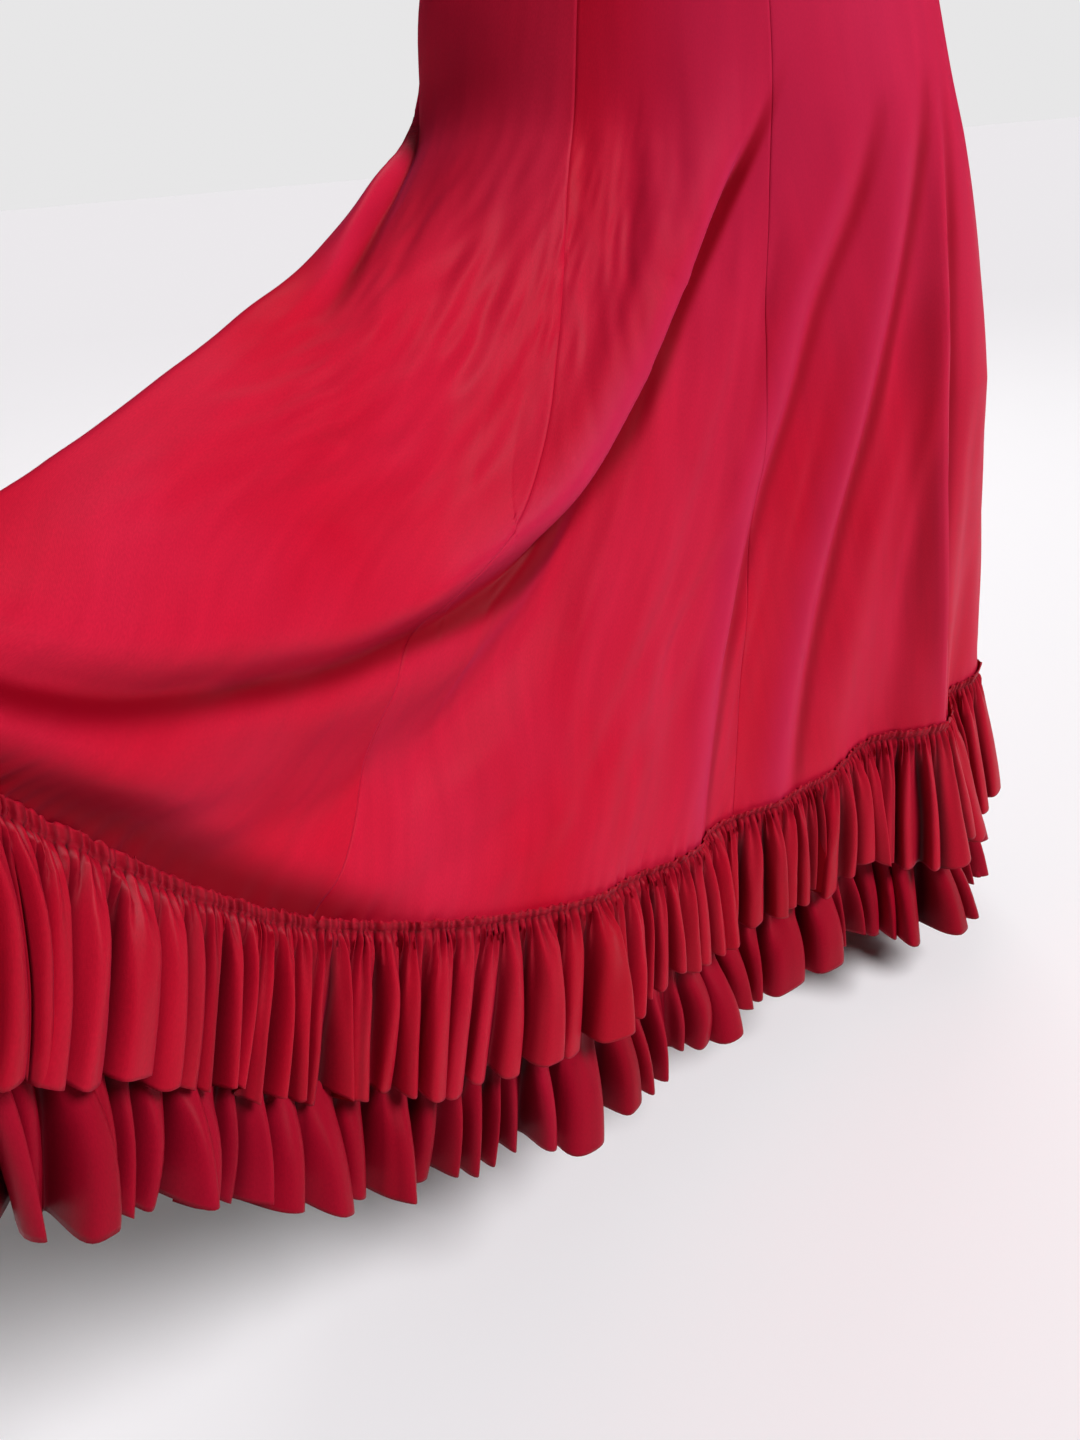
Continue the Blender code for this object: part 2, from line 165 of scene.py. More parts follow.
# Creases and ridges, in tenths of a millimetre: height out of the cloth, and width on the side of
# the higher places and on the other side. The path follows, as places and falls in hundredths.
CREASE_UNITS = 10000
CREASE_PATH_UNITS = 100
CREASES = (
    # soft diagonals under the drag fold
    (28, 70, 120, (37, 27), (43, 36), (54, 50), (60, 60), (62, 72), (62, 84)),
    (-34, 120, 120, (17, 34), (24, 46), (36, 60), (47, 72), (55, 84), (60, 94)),
    (26, 130, 140, (16, 26), (25, 40), (33, 52), (42, 61), (50, 72), (56, 86)),
    (26, 160, 160, (2, 28), (9, 44), (20, 58), (30, 72), (36, 86), (38, 98)),
    (14, 80, 80, (11, 12), (13, 22), (17, 32), (22, 42)),
    (-16, 60, 60, (-3, 14), (2, 28), (7, 42)),
    (-28, 180, 140, (64, 80), (74, 88), (85, 94), (96, 99)),
    (24, 120, 140, (58, 84), (66, 91), (78, 98)),
    (-22, 80, 80, (-7, 52), (-3, 66), (1, 80), (2, 94)),
    (-18, 60, 60, (-19, 30), (-14, 46), (-9, 60)),
    (-50, 120, 120, (-54, 6), (-48, 20), (-43, 30), (-35, 44), (-26, 60), (-19, 78)),
    (34, 100, 100, (-56, 26), (-49, 42), (-42, 56), (-37, 72), (-34, 94)),
    (-40, 120, 140, (6, 48), (15, 57), (30, 68), (39, 79), (44, 92)),
    # short pleats where the front is drawn across the hips
    (-16, 62, 83, (90, 3), (87, 9), (85, 16), (85, 22)),
    (10, 68, 68, (83, 2), (80, 10), (79, 20), (81, 30)),
    (-17, 68, 83, (71, 1), (66, 9), (64, 18), (66, 27)),
    (12, 83, 83, (62, -1), (58, 8), (57, 16)),
    (-14, 68, 83, (47, 0), (47, 9), (52, 17), (58, 24)),
    (-12, 55, 68, (76, 20), (74, 30), (78, 40)),
    (12, 83, 110, (95, 5), (93, 14), (91, 24), (90, 36), (95, 47)),
    (-10, 68, 68, (90, 30), (92, 40), (100, 50)),
    # creases that fan out from the hip across the drawn-out side
    (18, 138, 96, (107, 6), (104, 20), (103, 34), (108, 47)),
    (-18, 96, 110, (114, 8), (110, 20), (109, 33), (115, 45)),
    (14, 138, 110, (122, 10), (118, 22), (120, 36), (128, 48)),
    (-14, 110, 124, (130, 10), (127, 22), (131, 36), (142, 47)),
    (14, 124, 110, (140, 10), (137, 20), (140, 32), (150, 42)),
    (-12, 96, 110, (148, 12), (146, 22), (148, 32)),
    (12, 83, 68, (160, 12), (156, 22), (146, 32), (137, 38)),
    (-9, 68, 68, (120, 46), (127, 50), (140, 53)),
    (10, 96, 83, (124, 52), (136, 50), (150, 50)),
    (-10, 138, 138, (110, 54), (124, 60), (144, 63), (162, 66)),
    (16, 248, 248, (98, 46), (112, 58), (134, 68), (158, 76), (180, 80)),
    # the roll along the drawn-out edge, and the soft trough beside it
    (-50, 200, 200, (172, 28), (174, 40), (178, 52), (180, 66), (182, 80)),
    (40, 140, 140, (198, 10), (192, 26), (190, 46), (190, 70)),
    # under the drag fold, down to the ruffle
    (50, 200, 180, (102, 84), (120, 88), (140, 93), (160, 95), (180, 97)),
    # the hidden back and left side, in the same manner
    (50, 140, 120, (230, 10), (226, 34), (230, 60), (232, 90)),
    (-50, 140, 120, (246, 20), (246, 50), (242, 80)),
    (45, 120, 140, (290, 5), (282, 30), (280, 62), (278, 95)),
    (-45, 120, 120, (305, 12), (300, 42), (297, 78)),
    (50, 120, 120, (356, 6), (354, 34), (352, 70), (351, 96)),
    (55, 140, 120, (398, 5), (402, 36), (400, 70), (398, 97)),
    (-45, 100, 120, (414, 15), (413, 45), (412, 80)),
    (55, 120, 140, (446, 8), (450, 40), (450, 72), (449, 98)),
    (-40, 120, 100, (492, 10), (490, 42), (488, 84)),
    (50, 120, 120, (504, 14), (505, 46), (506, 90)),
)

# Patches of short crinkles: which way they run from straight down (more is towards the higher
# places), how wide and long each crinkle is, their height, and where the patch lies.
CRINKLE_WAVES = 16
PLACE_LENGTH = 0.30  # metres of cloth to one place and one fall, about
FALL_LENGTH = 0.55
CRINKLE_COLUMNS = (
    "seed", "way", "width", "length", "height", "place", "place_reach", "fall", "fall_reach"
)
CRINKLES = (
    (71, 0.05, 0.02, 0.045, 0.00045, 0.74, 0.2, 0.24, 0.14),
    (72, 0.3, 0.034, 0.07, 0.0008, 1.22, 0.32, 0.3, 0.2),
    (73, 0.75, 0.036, 0.09, 0.0008, 1.35, 0.4, 0.58, 0.2),
    (74, 0.25, 0.04, 0.15, 0.0006, 0.25, 0.45, 0.62, 0.33),
    (75, 0.1, 0.04, 0.16, 0.0007, 5.6, 0.4, 0.5, 0.4),
    (76, 0.5, 0.034, 0.08, 0.0007, 1.05, 0.5, 0.86, 0.12),
    (77, 0.00, 0.04, 0.16, 0.0009, 3.00, 0.9, 0.5, 0.45),
    (78, 0.00, 0.04, 0.16, 0.0009, 4.5, 0.8, 0.5, 0.45),
)

# Ruffles: how far their stitch line is below the upper one's, their drop, how many folds they have,
# and how much wider the folds are where the side is drawn out.
RUFFLE_COLUMNS = ("prefix", "start", "drop", "flutes", "wider", "seed")
RUFFLES = (
    ("ruffle_upper", 0.0, 0.133, 136, 0.15, 11),
    ("ruffle_lower", LOWER_START, 0.141, 96, 0.0, 27),
)
RUFFLE_LENGTHS = ("front", "right", "back", "left")
GATHERS = 480  # fine gathers in a ruffle's stitch line, all round
POINTS_PER_GATHER = {"ruffle_upper": 6, "ruffle_lower": 4}

# Rows down a ruffle: distance below its stitch line, stand-off, height of the fine gathers, how
# far the folds have taken over from the gathers, and the folds' depth. Lengths are in tenths of a
# millimetre and shares in hundredths.
ROW_UNITS = (10000, 10000, 10000, 100, 10000)
UPPER_ROWS = (
    (-95, 30, 6, 0, 0), (-75, 29, 7, 0, 0), (-50, 24, 7, 0, 0), (-25, 18, 6, 0, 0),
    (-8, 6, 3, 0, 0), (12, 6, 5, 0, 0), (38, 20, 14, 6, 20), (80, 34, 20, 20, 34),
    (135, 46, 22, 40, 46), (200, 56, 20, 62, 56), (275, 65, 16, 80, 65), (360, 74, 12, 92, 74),
    (455, 83, 8, 98, 83), (560, 92, 4, 100, 91), (670, 101, 1, 100, 98), (780, 109, 0, 100, 104),
    (890, 116, 0, 100, 109), (990, 122, 0, 100, 113), (1085, 127, 0, 100, 116),
    (1170, 131, 0, 100, 119), (1245, 134, 0, 100, 121), (1300, 136, 0, 100, 122),
    (1330, 137, 0, 100, 123),
)
LOWER_ROWS = (
    (0, 16, 8, 0, 0), (60, 24, 12, 10, 14), (140, 30, 14, 35, 20), (240, 34, 12, 70, 24),
    (360, 38, 8, 92, 30), (480, 44, 4, 100, 42), (580, 54, 0, 100, 64), (670, 68, 0, 100, 92),
    (760, 82, 0, 100, 120), (860, 95, 0, 100, 146), (960, 105, 0, 100, 168),
    (1070, 113, 0, 100, 187), (1180, 119, 0, 100, 202), (1290, 123, 0, 100, 214),
    (1370, 126, 0, 100, 221), (1410, 127, 0, 100, 224),
)

SHEEN_PINK = (0.90, 0.12, 0.42, 1)
# the colour of the sheen painted on crests and on the front over the hips
PAINTED_SHEEN_PINK = (0.52, 0.022, 0.090, 1)


def rows_of(table, columns):
    """Each row of a table as a dictionary with its named columns."""
    return [dict(zip(columns, row)) for row in table]


def unit(vectors):
    return vectors / np.maximum(np.linalg.norm(vectors, axis=-1, keepdims=True), 1e-12)


def bell(away, width):
    return np.exp(-((away / width) ** 2))


def running(steps):
    """Sums down the first axis, from 0."""
    return np.cumsum(np.concatenate([np.zeros_like(steps[:1]), steps]), axis=0)


def softened(values, times, middle=2):
    """A closed row of values, each drawn so many times towards its neighbours."""
    for _ in range(times):
        both = np.roll(values, 1, axis=0) + middle * values + np.roll(values, -1, axis=0)
        values = both / (middle + 2)
    return values


def hermite(left, right, slope_left, slope_right, span, s):
    """A smooth way from one value to the next, with its slope at both ends; s runs from 0 to 1."""
    return (
        left * (1 + 2 * s) * (1 - s) ** 2
        + slope_left * span * s * (1 - s) ** 2
        + right * s * s * (3 - 2 * s)
        + slope_right * span * s * s * (s - 1)
    )


def wander(turn, seed, low, high, count=7):
    """A smooth random wave, about -1 to 1, that closes once round."""
    rng = np.random.default_rng(seed)
    total = np.zeros(np.shape(turn))
    for _ in range(count):
        total += np.sin(2 * math.pi * (rng.integers(low, high + 1) * turn + rng.random()))
    return total / math.sqrt(count)


def around(places, knots, values):
    """Values at any places round the skirt, on a smooth closed curve."""
    count = len(knots)
    place = np.mod(np.asarray(places, float), GORE_COUNT)
    left = np.searchsorted(knots, place, side="right") - 1
    index = np.stack([(left - 1) % count, left % count, (left + 1) % count, (left + 2) % count])
    wraps = np.stack([left - 1, left, left + 1, left + 2])
    at = knots[index] + GORE_COUNT * np.floor_divide(wraps, count)
    v = values[index]
    span = at[2] - at[1]
    slope_left = (v[2] - v[0]) / (at[2] - at[0])
    slope_right = (v[3] - v[1]) / (at[3] - at[1])
    return hermite(v[1], v[2], slope_left, slope_right, span, (place - at[1]) / span)


def apart(places, other):
    """How far places are from another one, the short way round."""
    return np.mod(places - other + GORE_COUNT / 2, GORE_COUNT) - GORE_COUNT / 2


def hip_angles(places):
    knots = np.arange(GORE_COUNT + 1)
    degrees = [row["hip_angle"] for row in rows_of(GORES, GORE_COLUMNS)]
    turn = np.floor_divide(places, GORE_COUNT)
    inside = np.interp(np.mod(places, GORE_COUNT), knots, degrees + [degrees[0] + 360])
    return np.radians(inside + 360 * turn)


def ring(places, half_width, half_depth, level):
    angle = hip_angles(places)
    flat = np.stack([half_width * np.cos(angle), -half_depth * np.sin(angle)], -1)
    return np.concatenate([flat, np.full((len(places), 1), level)], -1)


def header_points(places):
    knots, *axes = (np.array(HEADER) / HEADER_UNITS).T
    return np.stack([around(places, knots, values) for values in axes], -1)


def outward(points_at, places):
    """Level directions that point out of a closed ring."""
    step = 0.02
    along = points_at(places + step) - points_at(places - step)
    return unit(np.stack([-along[:, 1], along[:, 0], np.zeros(len(places))], -1))


def flute_depth(places, fall):
    total = np.zeros(len(places))
    for place, half_width, depth, start, lean in np.array(FLUTES) / FLUTE_UNITS:
        away = apart(places, place - lean * (1 - fall))
        bump = np.cos(np.clip(away / half_width, -1, 1) * math.pi / 2) ** 2
        total += depth * bump * np.clip((fall - start) / (1 - start), 0, 1)
    return total


def belly(places, fall, name):
    size = np.zeros(len(places))
    for row in rows_of(BELLIES, BELLY_COLUMNS):
        away = apart(places, row["place"])
        size += row[name] * np.cos(np.clip(away / row["half_width"], -1, 1) * math.pi / 2) ** 2
    return size * math.sin(math.pi * fall**BELLY_LEAN)


def drag_fold(places, fall):
    at, path, height = (np.array(CREST) / CREST_UNITS).T
    place = np.mod(places, GORE_COUNT)
    below = (fall - np.interp(place, at, path)) / CREST_WIDTH
    hollow = 0.9 * bell(below - 1.7, 1.1)
    return np.interp(place, at, height, left=0, right=0) * (bell(below, 1.5) - hollow)


def free_cloth(places, fall):
    """The cloth between the hips, where fall is 0, and the stitch line, where it is 1."""
    top = ring(places, HIP_HALF_WIDTH, HIP_HALF_DEPTH, HIP_LEVEL)
    bottom = header_points(places)
    out = outward(header_points, places)
    reach = belly(places, fall, "out") + drag_fold(places, fall) - flute_depth(places, fall)
    sag = belly(places, fall, "down")
    return top + (bottom - top) * fall + out * reach[:, None] - sag[:, None] * np.array([0, 0, 1])


def upper_cloth(places, share):
    """The cloth between the waistband, where share is 0, and the hips, where it is 1."""
    ease = math.sin(share * HIP_EASE) / math.sin(HIP_EASE)
    start = -BAND_HEIGHT + 0.001
    return ring(
        places,
        WAIST_HALF_WIDTH + (HIP_HALF_WIDTH - WAIST_HALF_WIDTH) * ease,
        WAIST_HALF_DEPTH + (HIP_HALF_DEPTH - WAIST_HALF_DEPTH) * ease,
        start + (HIP_LEVEL - start) * share,
    )


def skirt_points(places, fall):
    """Points of the smooth skirt at any fall, which is below 0 over the hips."""
    if fall < 0:
        return upper_cloth(places, 1 + fall / UPPER_FALL)
    return free_cloth(places, min(fall, 1))


def smooth_through(at, knots, values):
    """A smooth curve through a short table of values."""
    knots, values = np.asarray(knots, float), np.asarray(values, float)
    slopes = np.gradient(values, knots)
    at = np.clip(at, knots[0], knots[-1])
    k = np.clip(np.searchsorted(knots, at, side="right") - 1, 0, len(knots) - 2)
    span = knots[k + 1] - knots[k]
    return hermite(values[k], values[k + 1], slopes[k], slopes[k + 1], span, (at - knots[k]) / span)


def gore_places(number, fall):
    """The places of one gore's columns, which stand closer together beside its seams."""
    drift = float(smooth_through(fall, *(np.array(DRIFT) / DRIFT_UNITS).T))
    first = number + (drift if number == DRIFT_SEAM else 0)
    last = number + 1 + (drift if number + 1 == DRIFT_SEAM else 0)
    share = np.linspace(0, 1, GORES[number][2] + 1)
    share = share - SEAM_CROWDING * np.sin(2 * math.pi * share) / (2 * math.pi)
    return first + (last - first) * share


def all_places(fall):
    return np.concatenate([gore_places(number, fall)[:-1] for number in range(GORE_COUNT)])


SEAM_AT = running(np.array([row[2] for row in GORES]))  # each seam's column


def grid_normals(points):
    """Ways out at each point of a grid whose columns go round the skirt."""
    along = np.roll(points, -1, axis=1) - np.roll(points, 1, axis=1)
    return unit(np.cross(along, np.gradient(points, axis=0)))


# how the painted shade of the drag fold's hollow widens along it
HOLLOW_SHADE_GROWS = ((0, 0.25, 0.5, 1), (0.45, 0.62, 1.15, 1.2))  # along the drag fold
# Where the drag fold's edge hides the cloth below it, the painted shade of the hollow is that much
# wider, as a share of the drop.
HIDDEN_BY_EDGE = ((0, 0.2, 0.35, 0.45, 0.62), (0.35, 0.45, 0.70, 0.60, 0))
# where the painted sheen on the drag fold's crest fades out along it
CREST_SHEEN_ENDS = ((0.4, 0.62), (1, 0))  # along the drag fold
REACH = 2.6  # how many of its widths a fold or crease still moves the cloth
PAST_END = 0.012  # how soon a fold dies past the ends of its path
# for the painted shade of a fold's hollow and the painted sheen of its crest
FULL_DROP = 0.010  # from here on a fold's hollow and crest are as strong as they get
PATH_STEPS = 12  # between two points of a path
PATH_PROBE = 0.01  # how far to the side a path is probed, in places and falls


def near_path(flat, path, reach):
    """The points near a path on the cloth, with their place along it and signed way across it."""
    knots = np.array(path, float)
    steps = np.linspace(0, len(knots) - 1, PATH_STEPS * (len(knots) - 1) + 1)
    knot_at = np.arange(len(knots))
    on_path = np.stack([smooth_through(steps, knot_at, column) for column in knots.T], -1)
    line = np.concatenate([skirt_points(np.array([row[0]]), row[1]) for row in on_path])
    ahead = unit(np.gradient(line, axis=0))
    turned = np.gradient(on_path[:, :2], axis=0)
    turned = PATH_PROBE * turned / np.linalg.norm(turned, axis=1, keepdims=True)
    aside = [
        skirt_points(np.array([place + down]), fall - along)
        for (place, fall), (along, down) in zip(on_path[:, :2], turned)
    ]
    aside = np.concatenate(aside) - line
    aside = unit(aside - ahead * (aside * ahead).sum(axis=1, keepdims=True))
    low, high = line.min(axis=0) - reach, line.max(axis=0) + reach
    near = np.flatnonzero(((flat > low) & (flat < high)).all(axis=1))
    gap = np.linalg.norm(flat[near, None] - line[None], axis=2)
    nearest = gap.argmin(axis=1)
    offset = flat[near] - line[nearest]
    onward = (offset * ahead[nearest]).sum(axis=1)
    aside_way = (offset * aside[nearest]).sum(axis=1)
    distance = np.sqrt(np.maximum(gap.min(axis=1) ** 2 - onward**2, 0))
    across = np.where(aside_way < 0, -1, 1) * distance
    last = len(line) - 1
    past_end = ((nearest == 0) & (onward < 0)) | ((nearest == last) & (onward > 0))
    beyond = np.where(past_end, onward, 0)
    spacing = np.linalg.norm(np.gradient(line, axis=0), axis=1)[nearest]
    at = np.clip(nearest + onward / spacing, 0, last)
    here = np.stack([np.interp(at, np.arange(len(line)), column) for column in on_path.T], -1)
    return near, at / last, across, beyond, here, aside[nearest]


def crease_offsets(points, normals):
    """How far the folds and creases move each point of the skirt's grid.

    Also the shade painted in their hollows and the sheen painted on their crests.
    """
    flat = points.reshape(-1, 3)
    height = np.zeros(len(flat))
    slide = np.zeros((len(flat), 3))
    hollow, crest = np.zeros(len(flat)), np.zeros(len(flat))
    for number, (tall, after, before, *path) in enumerate(CREASES):
        path = np.array(path) / CREASE_PATH_UNITS
        reach = REACH * (max(after, before) / CREASE_UNITS)
        near, t, across, beyond, _, _ = near_path(flat, path, reach)
        width = np.where(across > 0, after, before) / CREASE_UNITS
        taper = np.clip(np.sin(math.pi * (0.04 + 0.92 * t)), 0, 1) ** 0.7
        uneven = 1 + 0.20 * np.sin(9 * t + number) + 0.10 * np.sin(23 * t + 2.3 * number)
        close = np.exp(-((across**2 + beyond**2) / width**2))
        height[near] += tall / CREASE_UNITS * taper * uneven * close
    for number, step in enumerate(rows_of(STEPS, STEP_COLUMNS)):
        is_drag, is_last = number == 0, number == len(STEPS) - 1
        path = np.array(step["path"]) / STEP_PATH_UNITS
        reach = REACH * max(step["roll"], step["tuck"])
        near, t, across, beyond, on_path, aside = near_path(flat, path, reach)
        drop, gentle = on_path[:, 2], on_path[:, 3]
        fade = bell(beyond, PAST_END)
        side = 0.5 + 0.5 * np.tanh(across / gentle)
        roll = side * bell(np.maximum(across, 0), step["roll"])
        tuck = (1 - side) * bell(np.minimum(across, 0), step["tuck"])
        height[near] += drop * fade * (0.5 * roll - 0.5 * tuck)
        lap = step["lap"] * drop / path[len(path) // 2][2]
        lean = lap * fade * bell(across - gentle, 2.2 * gentle)
        slide[near] -= aside * lean[:, None]
        # its painted shade in the hollow, and its painted sheen on the crest
        wide = step["hollow_shade_width"] * (np.interp(t, *HOLLOW_SHADE_GROWS) if is_drag else 1)
        hidden = drop * np.interp(t, *HIDDEN_BY_EDGE) if is_drag else 0
        over = across + 0.5 * gentle + (0.25 if is_last else 0.9) * wide
        off = np.where(over > 0, over, np.minimum(over + hidden, 0)) / wide
        strength = fade * np.clip(drop / FULL_DROP, 0, 1)
        dies_off = np.exp(-np.where(off > 0, 1.7 * off**2, 0.8 * np.abs(off) ** 3))
        hollow[near] = np.maximum(hollow[near], step["hollow"] * strength * dies_off)
        on_crest = bell(across - 0.8 * gentle, 1.2 * gentle + 0.004)
        crest_sheen = step["crest"] * strength * on_crest
        if is_drag:
            crest_sheen *= np.interp(t, *CREST_SHEEN_ENDS)
        crest[near] = np.maximum(crest[near], crest_sheen)
    crest *= 1 - hollow
    shade = np.stack([hollow, crest], -1).reshape(*points.shape[:2], 2)
    lift = normals * height.reshape(points.shape[:2])[..., None]
    return lift + slide.reshape(points.shape), shade


def crinkles(places, falls, row):
    """A patch of short uneven crinkles that run one way over the cloth."""
    rng = np.random.default_rng(row["seed"])
    along = np.array([math.sin(row["way"]), math.cos(row["way"])])
    across = np.array([along[1], -along[0]])
    spot = np.stack([places * PLACE_LENGTH, falls * FALL_LENGTH], -1)
    height = np.zeros(places.shape)
    for _ in range(CRINKLE_WAVES):
        wave = across * rng.uniform(0.6, 1.5) / row["width"]
        wave = wave + along * rng.normal(0, 0.7) / row["length"]
        height += np.sin(2 * math.pi * (spot @ wave + rng.random()))
    away = (apart(places, row["place"]) / row["place_reach"]) ** 2
    away = away + ((falls - row["fall"]) / row["fall_reach"]) ** 2
    return row["height"] * height / math.sqrt(CRINKLE_WAVES) * np.exp(-away)


def fine_ripples(places, falls):
    """Small unevenness: long soft ripples down the cloth, and puckers over the stitch line."""
    turn = places / GORE_COUNT
    size = 0.00020 * wander(turn + 0.012 * falls, 5, 16, 40) * np.clip(falls * 3, 0.12, 1)
    size += 0.00005 * wander(turn - 0.02 * falls, 6, 50, 110) * np.clip(falls * 2, 0.1, 1)
    pucker = bell(1 - falls, 0.035) * (falls < 1.001)
    size += 0.0009 * pucker * wander(turn, 7, 110, 190)
    waist = bell(falls + UPPER_FALL, 0.06)
    hip = np.exp(-((apart(places, 1.85) / 0.45) ** 2) - ((falls + 0.13) / 0.11) ** 2)
    for row in rows_of(CRINKLES, CRINKLE_COLUMNS):
        size = size + crinkles(places, falls, row)
    return size + 0.0012 * waist * wander(turn, 8, 60, 110) + 0.011 * hip


HIP_EASING = 40
HIP_ROWS = (10, 14)  # the rows above and below the hips where the bend is eased
# how strong a painted sheen and a painted shade are:
PAINTED_FRONT_SHEEN = 0.42  # of the front over the hips, which turns to the light
HIP_SHADE = 0.35  # of the right hip, which turns away from it


def skirt_grid():
    """The whole skirt's fine grid, and the shade and sheen painted on it.

    The shade goes in hollows and on the right hip, the sheen on crests and the front over the hips.
    """
    falls = np.concatenate([
        np.linspace(-UPPER_FALL, 0, ROWS_OVER_HIPS, endpoint=False),
        np.linspace(0, 1, ROWS_BELOW_HIPS),
    ])
    places = np.stack([all_places(fall) for fall in falls])
    points = np.stack([skirt_points(row, fall) for row, fall in zip(places, falls)])
    first, last = ROWS_OVER_HIPS - HIP_ROWS[0], ROWS_OVER_HIPS + HIP_ROWS[1]
    for _ in range(HIP_EASING):
        inner = points[first:last]
        points[first + 1 : last - 1] = (inner[:-2] + 2 * inner[1:-1] + inner[2:]) / 4
    fall_grid = np.repeat(falls[:, None], places.shape[1], axis=1)
    normals = grid_normals(points)
    offsets, shade = crease_offsets(points, normals)
    # painted sheen on the front over the hips, and painted shade on the right hip
    front = np.exp(-((apart(places, -0.1) / 0.85) ** 4))
    front = front * bell(np.maximum(fall_grid - 0.02, 0), 0.30)
    shade[..., 1] = np.maximum(shade[..., 1], PAINTED_FRONT_SHEEN * front * (1 - shade[..., 0]))
    hip = bell(apart(places, 1.4), 0.38) * bell(fall_grid - 0.09, 0.13)
    shade[..., 0] = np.maximum(shade[..., 0], HIP_SHADE * hip)
    points = points + offsets + normals * fine_ripples(places, fall_grid)[..., None]
    out = unit(grid_normals(points)[-1] * np.array([1, 1, 0]))
    under = []
    for step in range(1, ROWS_UNDERLAP + 1):
        down = UNDERLAP * step / ROWS_UNDERLAP
        under.append(points[-1] + out * UNDERLAP_FLARE * down - np.array([0, 0, down]))
    shade = np.concatenate([shade, np.repeat(shade[-1:], ROWS_UNDERLAP, axis=0)])
    return np.concatenate([points, np.stack(under)]), shade


SEAM_REACH = 9  # columns on each side that a seam moves
SEAM_FADES = ((0.12, 0.24), (0.7, 0.06))  # the first seam down the front, which hardly shows


def seam_grooves(grid):
    """Turns the cloth in along each seam, so that it shows as a fine line with slight puckers."""
    normals = grid_normals(grid)
    across = np.linalg.norm(np.roll(grid, -1, axis=1) - grid, axis=2)
    depth = np.zeros(grid.shape[:2])
    down = np.arange(len(grid)) / len(grid)
    for seam in range(GORE_COUNT):
        pucker = 0.5 + 0.5 * wander(down, 40 + seam, 20, 60)
        shows = 1 if seam else np.interp(down, *SEAM_FADES)
        for way in (-1, 1):
            gap = np.zeros(len(grid))
            for step in range(SEAM_REACH):
                column = (SEAM_AT[seam] + way * step) % grid.shape[1]
                dip = 0.0004 * bell(gap, 0.0009) - 0.00006 * bell(gap - 0.003, 0.0018)
                dip += 0.00012 * pucker * bell(gap, 0.006)
                depth[:, column] += dip * shows * (0.5 if step == 0 else 1)
                gap += across[:, column if way > 0 else (column - 1) % grid.shape[1]]
    return grid - normals * depth[..., None], normals


def mesh_object(name, points, faces, looks, uv, slots=None, shades=()):
    """A smooth mesh in the scene.

    The UVs, in metres of cloth, and the painted shade and sheen go by points.
    """
    mesh = bpy.data.meshes.new(name)
    mesh.from_pydata(points.tolist(), [], faces.tolist())
    layer = mesh.uv_layers.new(name="cloth")
    layer.data.foreach_set("uv", uv[faces.ravel()].astype(np.float32).ravel())
    for shade_name, values in shades:
        shade = mesh.attributes.new(shade_name, "FLOAT", "POINT")
        shade.data.foreach_set("value", values.astype(np.float32).ravel())
    for look in looks:
        mesh.materials.append(look)
    if slots is not None:
        mesh.polygons.foreach_set("material_index", slots)
    mesh.polygons.foreach_set("use_smooth", np.ones(len(faces), bool))
    mesh.update()
    made = bpy.data.objects.new(name, mesh)
    bpy.context.scene.collection.objects.link(made)
    return made


def strip(p, q):
    """Triangles between two lines of points that run side by side."""
    lower = np.stack([p[:-1], p[1:], q[1:]], -1)
    upper = np.stack([p[:-1], q[1:], q[:-1]], -1)
    return np.concatenate([lower, upper])


def cloth_object(name, outer, normals, uv, looks, shade, thickness=CLOTH):
    """A thin closed wall of cloth: the outer grid, and an inner one set back along the normals."""
    inner = outer - normals * thickness
    rows, columns = outer.shape[:2]
    a, b = np.arange(2 * rows * columns).reshape(2, rows, columns)
    front = np.concatenate([strip(a[row], a[row + 1]) for row in range(rows - 1)])
    # the back is cut along the same diagonals, so that neither side shows through the other
    back = np.concatenate([strip(b[row], b[row + 1])[:, ::-1] for row in range(rows - 1)])
    rims = [strip(b[0], a[0]), strip(a[-1], b[-1])]
    rims += [strip(a[:, 0], b[:, 0]), strip(b[:, -1], a[:, -1])]
    faces = np.concatenate([front, back, *rims])
    slots = np.zeros(len(faces), np.int32)
    slots[len(front) : len(front) + len(back)] = len(looks) - 1
    points, uv = np.stack([outer, inner]).reshape(-1, 3), uv.reshape(-1, 2)
    # painted shade in the hollows and painted sheen on the crests, on both faces of the cloth
    shades = [(kind, np.stack([shade[..., n]] * 2)) for n, kind in enumerate(("hollow", "crest"))]
    return mesh_object(name, points, faces, looks, np.concatenate([uv, uv]), slots, shades)


# Materials.


def set_inputs(made, values):
    for key, value in values.items():
        made.inputs[key].default_value = value


